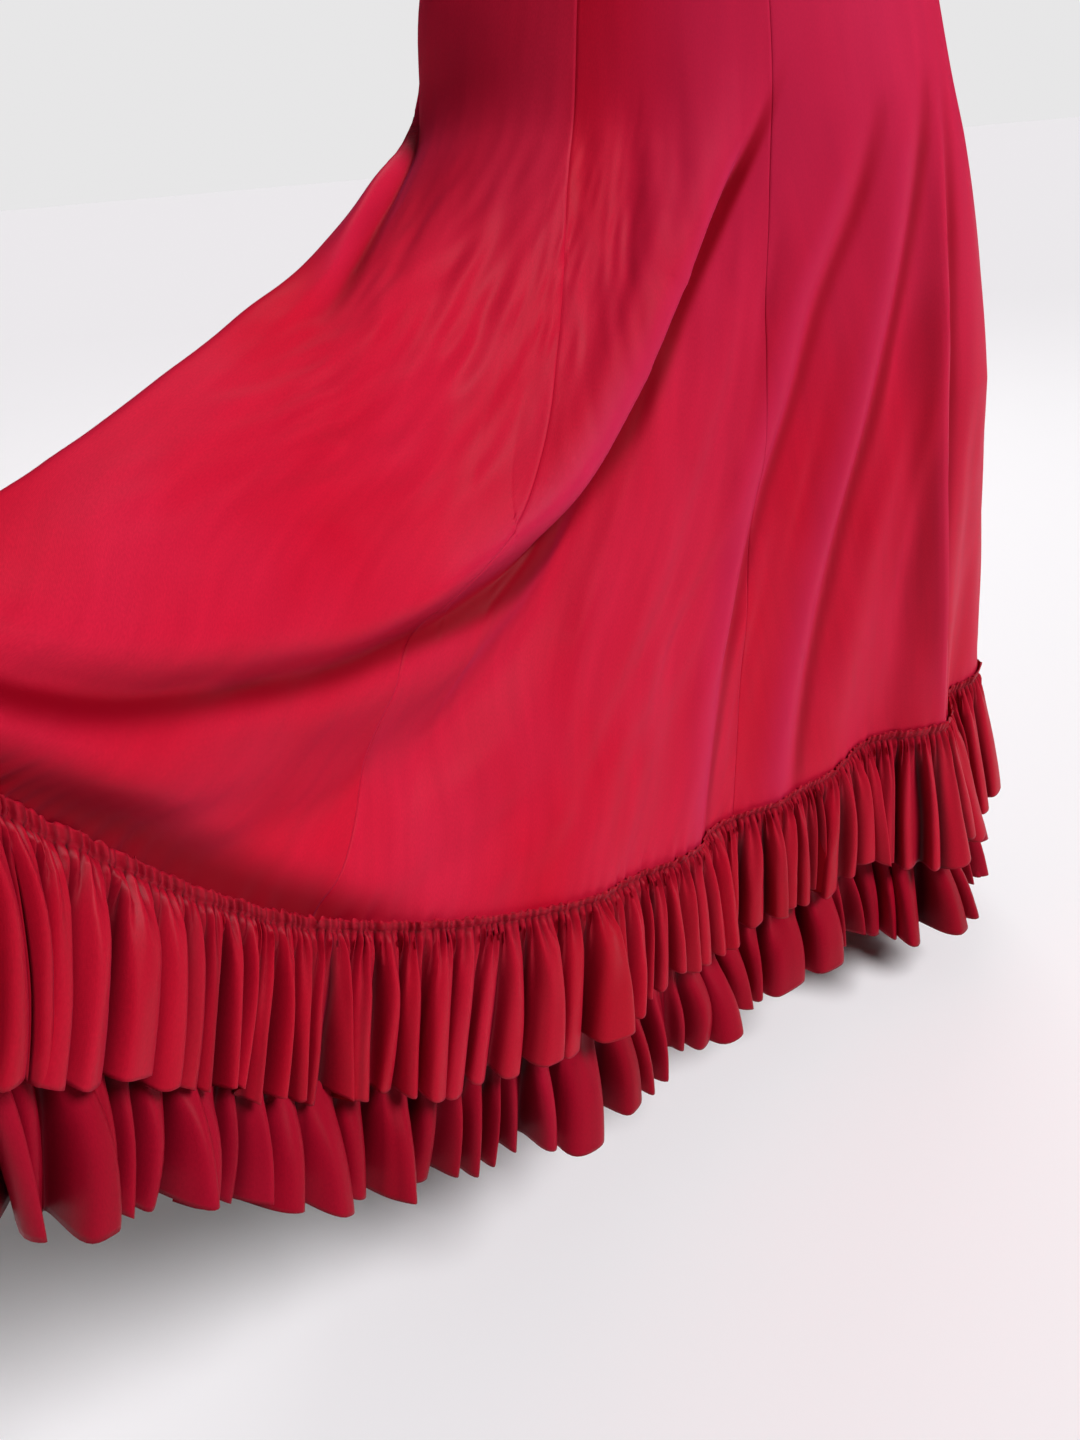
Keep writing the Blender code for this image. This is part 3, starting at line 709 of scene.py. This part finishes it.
def satin(name, colour, shade, deep, roughness, sheen, gloss, crumple):
    """Stretch satin: a fine knit, soft unevenness, and a dull lustre along the cloth's length."""
    look = bpy.data.materials.new(name)
    look.use_nodes = True
    tree = look.node_tree
    link = tree.links.new
    shader = tree.nodes["Principled BSDF"]
    set_inputs(shader, {
        "Sheen Weight": sheen,
        "Sheen Roughness": 0.42,
        "Sheen Tint": SHEEN_PINK,
        "Specular IOR Level": gloss,
        "Anisotropic": 0.3,
    })

    def node(kind, inputs=(), **settings):
        """A node with its settings, where each input is a plain value or another node's output."""
        made = tree.nodes.new("ShaderNode" + kind)
        for key, value in settings.items():
            setattr(made, key, value)
        for key, value in dict(inputs).items():
            if isinstance(value, bpy.types.NodeSocket):
                link(value, made.inputs[key])
            else:
                made.inputs[key].default_value = value
        return made.outputs

    uv = node("UVMap", uv_map="cloth")["UV"]

    def noise(scale, detail, rough, stretch):
        placed = node("Mapping", {"Vector": uv, "Scale": (1, stretch, 1)})["Vector"]
        size = {"Scale": scale, "Detail": detail, "Roughness": rough}
        return node("TexNoise", {"Vector": placed, **size})["Fac"]

    def ribs(scale, way):
        size = {"Scale": scale, "Distortion": 0.6}
        return node("TexWave", {"Vector": uv, **size}, bands_direction=way)["Fac"]

    def ramp(source, low, high):
        span = {"From Min": 0.3, "From Max": 0.7, "To Min": low, "To Max": high}
        return node("MapRange", {"Value": source, **span})["Result"]

    def mix(factor, first, second, **settings):
        return node("Mix", {0: factor, 6: first, 7: second}, data_type="RGBA", **settings)[2]

    def painted(attribute):
        return node("Attribute", attribute_name=attribute)["Fac"]

    broad = noise(5, 3, 0.55, 0.55)
    streaks = noise(90, 4, 0.6, 0.10)
    yarns = noise(1500, 2, 0.5, 0.3)
    crinkle = noise(40, 4, 0.5, 0.45)
    uneven = {0: ramp(streaks, 0.93, 1.06), 1: ramp(yarns, 0.92, 1.07)}
    grey = node("Math", uneven, operation="MULTIPLY")["Value"]
    fibres = node("CombineColor", {"Red": grey, "Green": grey, "Blue": grey})["Color"]
    mixed = mix(ramp(broad, 0.0, 1.0), (*colour, 1), (*shade, 1))
    mixed = mix(1, mixed, fibres, blend_type="MULTIPLY")
    # painted sheen makes the crests pinker, then painted shade gives the hollows the deep colour
    mixed = mix(painted("crest"), mixed, PAINTED_SHEEN_PINK)
    link(mix(painted("hollow"), mixed, (*deep, 1)), shader.inputs["Base Color"])
    link(ramp(streaks, roughness - 0.03, roughness + 0.04), shader.inputs["Roughness"])

    normal = {}
    for height, strength, distance in (
        (crinkle, crumple, 0.001),
        (ribs(480, "X"), 0.10, 0.0001),
        (ribs(400, "Y"), 0.10, 0.0001),
        (yarns, 0.14, 0.0001),
    ):
        size = {"Height": height, "Strength": strength, "Distance": distance}
        normal = {"Normal": node("Bump", {**size, **normal})["Normal"]}
    link(normal["Normal"], shader.inputs["Normal"])
    return look


# The two colours that mix in each cloth, the deep one painted as shade in its hollows, and its
# roughness, sheen, gloss and crumple.
SATIN, SATIN_BACK, UPPER_SATIN, SHADED_LOWER_SATIN, BAND_CLOTH = (satin(*row) for row in (
    ("satin_face", (0.52, 0.012, 0.043), (0.48, 0.0026, 0.017), (0.20, 0.0003, 0.006),
     0.50, 0.09, 0.05, 0.1),
    ("satin_back", (0.30, 0.002, 0.010), (0.26, 0.0012, 0.006), (0.12, 0.0005, 0.003),
     0.75, 0.01, 0.03, 0.1),
    ("upper_ruffle_face", (0.42, 0.006, 0.024), (0.36, 0.0020, 0.013), (0.06, 0.0004, 0.003),
     0.44, 0.03, 0.08, 0.5),
    # the lower ruffle's colours are painted darker, as the shade the upper ruffle casts on it
    ("lower_ruffle_shaded_face", (0.31, 0.004, 0.020), (0.26, 0.0020, 0.012), (0.05, 0.0003, 0.003),
     0.42, 0.0, 0.05, 0.5),
    ("band_cloth", (0.40, 0.003, 0.014), (0.35, 0.0014, 0.009), (0.20, 0.0010, 0.005),
     0.60, 0.05, 0.08, 0.1),
))

# The gores.
grid, shade = skirt_grid()
grid, normals = seam_grooves(grid)
down_cloth = running(np.linalg.norm(np.diff(grid, axis=0), axis=2))
across = np.linalg.norm(np.roll(grid, -1, axis=1) - grid, axis=2)

for number, gore in enumerate(rows_of(GORES, GORE_COLUMNS)):
    picked = np.arange(SEAM_AT[number], SEAM_AT[number + 1] + 1) % grid.shape[1]
    cut, ways = grid[:, picked], normals[:, picked]
    width = running(across[:, picked[:-1]].T).T
    middle = width[:, len(picked) // 2][:, None]
    uv = np.stack([width - middle + number, -down_cloth[:, picked]], -1)
    looks = [SATIN, SATIN_BACK]
    piece = cloth_object(gore["name"] + "_cloth", cut, ways, uv, looks, shade[:, picked])
    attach(piece, "root")
    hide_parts(gore["name"])

# The ruffles.
STITCH_ROW = ROWS_OVER_HIPS + ROWS_BELOW_HIPS - 1
SLOPE_STEPS = 240  # even steps round the stitch line
SLOPE_EASING = 120
LINE_EASING = 3
OUT_EASING = 6
LEAN_WITH_SLOPE = 0.50  # how far the ruffle hangs square to a sloping stitch line, not plumb
FOLLOWS_SLOPE = 0.95  # how far its level follows the line as it leans
FOLLOWS_FOLD = 0.25  # and as a fold moves it aside
SETTLED = 0.04  # from this far down it hangs by the softened line
FOLD_DEPTH = 0.0125  # of a fold of unit depth, for its length of cloth
FOLD_ROUNDING = 8
GATHER_EASING = 60
MIDDLING_END = 0.085  # down to here small folds stand between the gathers and the folds
WIDER_AT = 0.24  # where the side is drawn out, as a share of the way round
WIDER_REACH = 0.075
VALLEYS = (0.12, 0.62)  # their width, where a face of middle width is 1
HEIGHTS = (0.65, 1.1)  # of faces and valleys, in unit depths
TILT = 0.32  # of a face, the same
FLATTENED = 0.12  # the share of folds that open out before the hem
OPEN_ABOVE = 0.30  # how far folds have spread at the stitch line
RUFFLE_LENGTH_BY_X = (
    (-0.39, -0.33, -0.28, -0.22, -0.14, -0.06, 0.03, 0.09, 0.15, 0.22, 0.30),
    (1.16, 1.16, 1.05, 0.92, 0.83, 0.74, 0.74, 0.80, 0.87, 1.0, 1.08),
)
FRONT_BY_Y = ((-0.02, 0.06), (1, 0))  # those lengths are the front's; the back's are even
STAND_OFF_BY_X = ((-0.39, -0.30, -0.20, 0.12, 0.24), (0.45, 0.55, 1.0, 1.0, 2.6))
FRILL_FROM = -0.008  # the raw edge above the stitch line
RUFFLE_CLOTH = 0.0005


def sewing_line():
    """The stitch line, once round and closed: its points, ways out, lengths and slopes.

    The points and ways out follow once more, softened.
    """
    line = grid[STITCH_ROW]
    along = np.roll(line, -3, axis=0) - np.roll(line, 3, axis=0)
    out = unit(np.stack([-along[:, 1], along[:, 0], np.zeros(len(line))], -1))
    slope = along[:, 2] / np.linalg.norm(along[:, :2], axis=1)
    for _ in range(OUT_EASING):
        out = unit(softened(out, 1))
    line = np.concatenate([line, line[:1]])
    out = np.concatenate([out, out[:1]])
    length = running(np.linalg.norm(np.diff(line, axis=0), axis=1))
    at = np.linspace(0, length[-1], SLOPE_STEPS, endpoint=False)

    def evened(known_at, values, times):
        even = softened(np.interp(at, known_at, values), times, 1)
        return np.interp(length, np.append(at, length[-1]), np.append(even, even[0]))

    soft = [np.stack([evened(length, v, LINE_EASING) for v in part.T], -1) for part in (line, out)]
    return line, out, length, evened(length[:-1], slope, SLOPE_EASING), soft[0], unit(soft[1])


LINE, LINE_OUT, LINE_LENGTH, LINE_SLOPE, SOFT_LINE, SOFT_OUT = sewing_line()
ROUND = float(LINE_LENGTH[-1])


def on_line(values, at):
    at = np.mod(at, ROUND)
    return np.stack([np.interp(at, LINE_LENGTH, column) for column in values.T], -1)


def on_lines(values, soft, settled, at):
    return on_line(values, at) * (1 - settled) + on_line(soft, at) * settled


def folds(seed, flutes, wider):
    """The corners of a ruffle's folds, in order round it: two to each face and two to each valley.

    Cloth is the share of the gathered strip up to a corner. Home is how far the corner lies from
    there round the skirt, evened out, and aside is the rest. A side wall may lean out over the
    valley beside it.
    """
    rng = np.random.default_rng(seed)
    turn = np.arange(flutes) / flutes
    uneven = np.clip(rng.normal(0, 0.34, flutes), -0.6, 0.55)
    face = np.exp(0.30 * wander(turn, seed + 9, 5, 22) + uneven)
    face *= 1 + wider * bell(turn - WIDER_AT, WIDER_REACH)
    floor = rng.uniform(*VALLEYS, flutes)
    sides = rng.uniform(-0.0036, 0.0034, (2, flutes))
    scale = (ROUND - sides.sum()) / (face.sum() + floor.sum())
    face, floor = face * scale, floor * scale
    size = np.clip(face / face.mean(), 0.55, 1.5) ** 0.4
    high = rng.uniform(*HEIGHTS, flutes) * size
    low = -rng.uniform(*HEIGHTS, flutes) * size
    tilt = rng.uniform(-TILT, TILT, flutes)
    depth = np.stack([high + tilt, high - tilt, low + 0.1 * tilt, low - 0.1 * tilt], -1).ravel()
    steps = np.stack([face, sides[0], floor, sides[1]], -1).ravel()
    walls = np.abs(np.roll(depth, -1) - depth) * FOLD_DEPTH
    cloth = running(np.hypot(steps, walls))
    flattened = rng.random(flutes) < FLATTENED
    lean = rng.uniform(-0.008, 0.008, flutes) + 0.006 * wander(turn, seed + 1, 12, 40)
    lean_of_side = rng.uniform(-0.0022, 0.0022, 4 * flutes)
    cloth = cloth[:-1] / cloth[-1]
    shift = running(steps)[:-1] - cloth * ROUND
    home = softened(shift, GATHER_EASING)
    growth = np.where(flattened, -0.45, rng.uniform(-0.25, 0.3, flutes))
    bow = np.repeat(rng.uniform(-0.003, 0.003, flutes), 4) + 0.4 * lean_of_side
    hem = rng.uniform(-0.0036, 0.0036, 4 * flutes)
    return {
        "cloth": cloth,
        "home": home,
        "aside": shift - home,
        "depth": depth,
        "growth": np.repeat(growth, 4),
        "lean": np.repeat(lean, 4) + lean_of_side,
        "bow": bow,
        "hem": hem + np.repeat(rng.normal(0, 0.0022, flutes), 4),
    }


def fold_line(turns, fold, share):
    """Along, out of and down from each point of the folds, at a share of the way down."""
    count = len(fold["cloth"])
    k = np.searchsorted(fold["cloth"], turns, side="right") - 1
    m = (k + 1) % count
    end = fold["cloth"][m] + (m == 0)
    t = (turns - fold["cloth"][k]) / (end - fold["cloth"][k])
    opened = OPEN_ABOVE + (1 - OPEN_ABOVE) * share
    bow = fold["bow"] * math.sin(math.pi * share)
    aside = fold["aside"] * opened + fold["lean"] * share + bow
    depth = fold["depth"] * (1 + fold["growth"] * share**2)
    corners = np.stack([aside, depth, fold["hem"] * share], -1)
    line = corners[k] * (1 - t[:, None]) + corners[m] * t[:, None]
    return softened(line, FOLD_ROUNDING).T


def ruffle(prefix, start, drop, flutes, wider, seed, table):
    """A ruffle's four lengths, each gathered at the stitch line and folded from there down."""
    count = GATHERS * POINTS_PER_GATHER[prefix]
    turns = np.arange(count) / count
    fold = folds(seed, flutes, wider)
    phase = 2 * math.pi * GATHERS * turns + 0.9 * wander(turns, seed + 2, 30, 90)
    gathers = np.sin(phase) * (1 + 0.3 * wander(turns, seed + 3, 60, 200))
    curl = 0.0009 * np.sin(2 * phase)
    early = 0.5 + 0.5 * wander(turns, seed + 4, 40, 120)
    home = turns * ROUND + np.interp(turns, fold["cloth"], fold["home"], period=1)
    top_along = home + 0.0008 * wander(turns, seed + 5, 40, 120)
    hem = 0.0016 * wander(turns, seed + 6, 10, 50)
    middling = wander(turns, seed + 12, 150, 300)
    frill = 0.0009 * wander(turns, seed + 7, 200, 520, 12)
    ragged = wander(turns, seed + 8, 180, 560, 14)
    slope = np.interp(np.mod(turns * ROUND, ROUND), LINE_LENGTH, LINE_SLOPE) * LEAN_WITH_SLOPE
    plumb = 1 / np.sqrt(1 + slope**2)
    home_x, home_y, _ = on_line(LINE, home).T
    length = 1 + np.interp(home_y, *FRONT_BY_Y) * (np.interp(home_x, *RUFFLE_LENGTH_BY_X) - 1)
    flare = np.interp(home_x, *STAND_OFF_BY_X)
    points, shades = [], []
    for down, stand_off, gather, taken_over, deep in np.array(table) / ROW_UNITS:
        share = np.clip(down / drop, 0, 1)
        taken = np.clip(taken_over * (0.75 + 0.5 * early), 0, 1)
        aside, depth, dip = fold_line(turns, fold, share)
        fine = gather * (gathers if down > 0 else ragged) * (1 - 0.6 * taken)
        fine += 0.0013 * middling * math.sin(math.pi * min(max(down / MIDDLING_END, 0), 1))
        gathered = top_along + (curl if down > 0 else 0) * min(1, gather / 0.002)
        x = gathered * (1 - taken) + (home + aside) * taken
        # the height follows the point where the cloth is gathered, with a part of the fold's way
        leant = slope * down * (share > 0)
        settled = min(max(down / SETTLED, 0), 1)
        level_at = home + FOLLOWS_FOLD * (x - home) + FOLLOWS_SLOPE * leant
        height = on_lines(LINE, SOFT_LINE, settled, level_at)[:, 2]
        x = x + leant
        out = stand_off * (1 + (flare - 1) * share) + deep * depth * taken
        out = out + fine + UNDERLAP_FLARE * start
        row = on_lines(LINE, SOFT_LINE, settled, x)
        row += unit(on_lines(LINE_OUT, SOFT_OUT, settled, x)) * out[:, None]
        level = down * plumb * length + hem * share + dip + (frill if down < FRILL_FROM else 0)
        row[:, 2] = height - start - level
        points.append(row)
        # painted shade: darker in the folds' valleys, between the gathers, and along the upper
        # ruffle's stitch line
        inside = np.clip(0.50 - 0.95 * depth, 0, 1) * taken
        inside = inside + np.clip(0.35 - 0.6 * gathers, 0, 1) * (1 - taken)
        stitch_line_shade = bell(down - 0.0005, 0.0016) if start == 0 else 0
        inside = np.maximum(inside * (1 if down > 0 else 0.5), 0.5 * stitch_line_shade)
        shades.append(np.stack([inside, np.zeros(count)], -1))
    points, shades = np.stack(points), np.stack(shades)
    ways = grid_normals(points)
    v = running(np.linalg.norm(np.diff(points, axis=0), axis=2))
    half = points[len(table) // 2]
    u = running(np.linalg.norm(np.roll(half, -1, axis=0) - half, axis=1))
    quarter = count // len(RUFFLE_LENGTHS)
    looks = [UPPER_SATIN if start == 0 else SHADED_LOWER_SATIN, SATIN_BACK]
    for number, side in enumerate(RUFFLE_LENGTHS):
        picked = np.arange(number * quarter, (number + 1) * quarter + 1)
        u_cut, picked = u[picked], picked % count
        uv = np.stack([np.repeat(u_cut[None], len(table), axis=0), -v[:, picked]], -1)
        cut, name = points[:, picked], f"{prefix}_{side}"
        piece = cloth_object(
            name + "_cloth", cut, ways[:, picked], uv, looks, shades[:, picked], RUFFLE_CLOTH
        )
        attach(piece, "root")
        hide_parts(name)


for row, table in zip(rows_of(RUFFLES, RUFFLE_COLUMNS), (UPPER_ROWS, LOWER_ROWS)):
    ruffle(**row, table=table)

# The waistband: cloth doubled over elastic, with fine puckers. Its profile goes down outside and
# up inside: the way out and the level in tenths of a millimetre, and the share of the puckers in
# tenths.
BAND_UNITS = (10000, 10000, 10)
BAND_PROFILE = (
    (4, -350, 3), (14, -346, 5), (16, -325, 5), (19, -290, 10), (21, -240, 10), (14, -205, 6),
    (21, -170, 10), (21, -110, 10), (14, -80, 6), (20, -45, 9), (16, -15, 6), (8, -2, 5),
    (-2, 0, 5), (-10, -4, 5), (-16, -30, 6), (-18, -80, 6), (-18, -180, 6), (-18, -280, 5),
    (-14, -340, 4), (-6, -350, 3),
)
BAND_COLUMNS = 720
BAND_ROUND = 0.72  # metres of cloth
PUCKERS = 118


def waistband():
    turn = np.arange(BAND_COLUMNS) / BAND_COLUMNS

    def band(places):
        return ring(places, WAIST_HALF_WIDTH, WAIST_HALF_DEPTH, 0)

    profile = np.array(BAND_PROFILE) / BAND_UNITS
    places = turn * GORE_COUNT
    base, out = band(places), outward(band, places)
    phase = 2 * math.pi * PUCKERS * turn + 0.8 * wander(turn, 61, 10, 40)
    pucker = 0.0007 * np.sin(phase) * (1 + 0.4 * wander(turn, 62, 20, 80))
    rings = []
    for offset, level, share in profile:
        sway = 0.0003 * wander(turn + level, 63, 10, 30)
        points = base + out * (offset + share * pucker + sway)[:, None]
        points[:, 2] = level + (0.0003 * wander(turn, 64, 30, 90) if level > -0.003 else 0)
        rings.append(points)
    index = np.arange(len(profile) * BAND_COLUMNS).reshape(len(profile), BAND_COLUMNS)
    faces = []
    for a, b in zip(index, np.roll(index, -1, axis=0)):
        faces.append(np.stack([a, b, np.roll(b, -1), np.roll(a, -1)], -1))
    faces = np.concatenate(faces)[:, ::-1]
    v = running(np.linalg.norm(np.diff(profile[:, :2], axis=0), axis=1))
    uv = np.stack(np.broadcast_arrays(turn[None] * BAND_ROUND, v[:, None]), -1).reshape(-1, 2)
    points = np.stack(rings).reshape(-1, 3)
    piece = mesh_object("waistband_cloth", points, faces, [BAND_CLOTH], uv)
    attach(piece, "root")
    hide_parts("waistband")


waistband()

# Floor, light and camera.
FLOOR_LEVEL = -1.04
FLOOR_REACH = 12
FLOOR_CORNERS = ((-1, -1), (1, -1), (1, 1), (-1, 1))

floor_mesh = bpy.data.meshes.new("floor")
corners = [(x * FLOOR_REACH, y * FLOOR_REACH, FLOOR_LEVEL) for x, y in FLOOR_CORNERS]
floor_mesh.from_pydata(corners, [], [(0, 1, 2, 3)])
floor = bpy.data.objects.new("floor", floor_mesh)
bpy.context.scene.collection.objects.link(floor)
floor_look = bpy.data.materials.new("floor")
floor_look.use_nodes = True
floor_paint = {"Base Color": (0.93, 0.93, 0.93, 1), "Roughness": 0.8, "Specular IOR Level": 0.0}
set_inputs(floor_look.node_tree.nodes["Principled BSDF"], floor_paint)
floor_mesh.materials.append(floor_look)

bpy.context.scene.view_settings.view_transform = "Standard"

# The room gives a faint light, and shows as a pale backdrop.
world = bpy.data.worlds.new("room")
bpy.context.scene.world = world
world.use_nodes = True
room = world.node_tree
lit = room.nodes["Background"]
set_inputs(lit, {"Color": (1.0, 0.98, 1.0, 1), "Strength": 0.03})
seen = room.nodes.new("ShaderNodeBackground")
set_inputs(seen, {"Color": (0.80, 0.795, 0.80, 1)})
rays = room.nodes.new("ShaderNodeLightPath")
either = room.nodes.new("ShaderNodeMixShader")
room.links.new(rays.outputs["Is Camera Ray"], either.inputs["Fac"])
room.links.new(lit.outputs["Background"], either.inputs[1])
room.links.new(seen.outputs["Background"], either.inputs[2])
room.links.new(either.outputs["Shader"], room.nodes["World Output"].inputs["Surface"])


def hang_lamp(name, kind, energy, colour, way):
    data = bpy.data.lights.new(name, kind)
    data.energy = energy
    data.color = colour
    lamp = bpy.data.objects.new(name, data)
    lamp.rotation_euler = Vector(way).to_track_quat("-Z", "Y").to_euler()
    bpy.context.scene.collection.objects.link(lamp)
    return lamp


for name, way, strength, angle, colour in (
    ("key", (-0.585, 0.338, -0.737), 3.35, 22, (1.0, 0.97, 1.0)),
    ("ceiling", (0.05, 0.1, -0.99), 0.25, 60, (1.0, 1.0, 1.0)),
):
    hang_lamp(name, "SUN", strength, colour, way).data.angle = math.radians(angle)

BACK_LAMP = Vector((0.4, 2.0, 1.2))
BACK_LAMP_AIM = Vector((0, 0, -0.4))
back_lamp = hang_lamp("back", "AREA", 12, (1, 1, 1), BACK_LAMP_AIM - BACK_LAMP)
back_lamp.location = BACK_LAMP
back_lamp.data.size = 1.4

EYE = (-0.1374, -0.902, -0.1823)
PITCH = math.radians(30)
ROLL = math.radians(5)
FOCAL_SHARE = 1126 / 1440  # of the picture's long side
SENSOR = 36

level_right = Vector((1, 0, 0))
level_down = Vector((0, -math.sin(PITCH), -math.cos(PITCH)))
right = level_right * math.cos(ROLL) + level_down * math.sin(ROLL)
up = -(level_down * math.cos(ROLL) - level_right * math.sin(ROLL))
back = -Vector((0, math.cos(PITCH), -math.sin(PITCH)))
camera_data = bpy.data.cameras.new("camera")
camera_data.sensor_width = SENSOR
camera_data.lens = SENSOR * FOCAL_SHARE
camera_data.clip_start = 0.01
camera_data.clip_end = 100
camera = bpy.data.objects.new("camera", camera_data)
camera.matrix_world = Matrix.Translation(EYE) @ Matrix((right, up, back)).transposed().to_4x4()
bpy.context.scene.collection.objects.link(camera)
bpy.context.scene.camera = camera
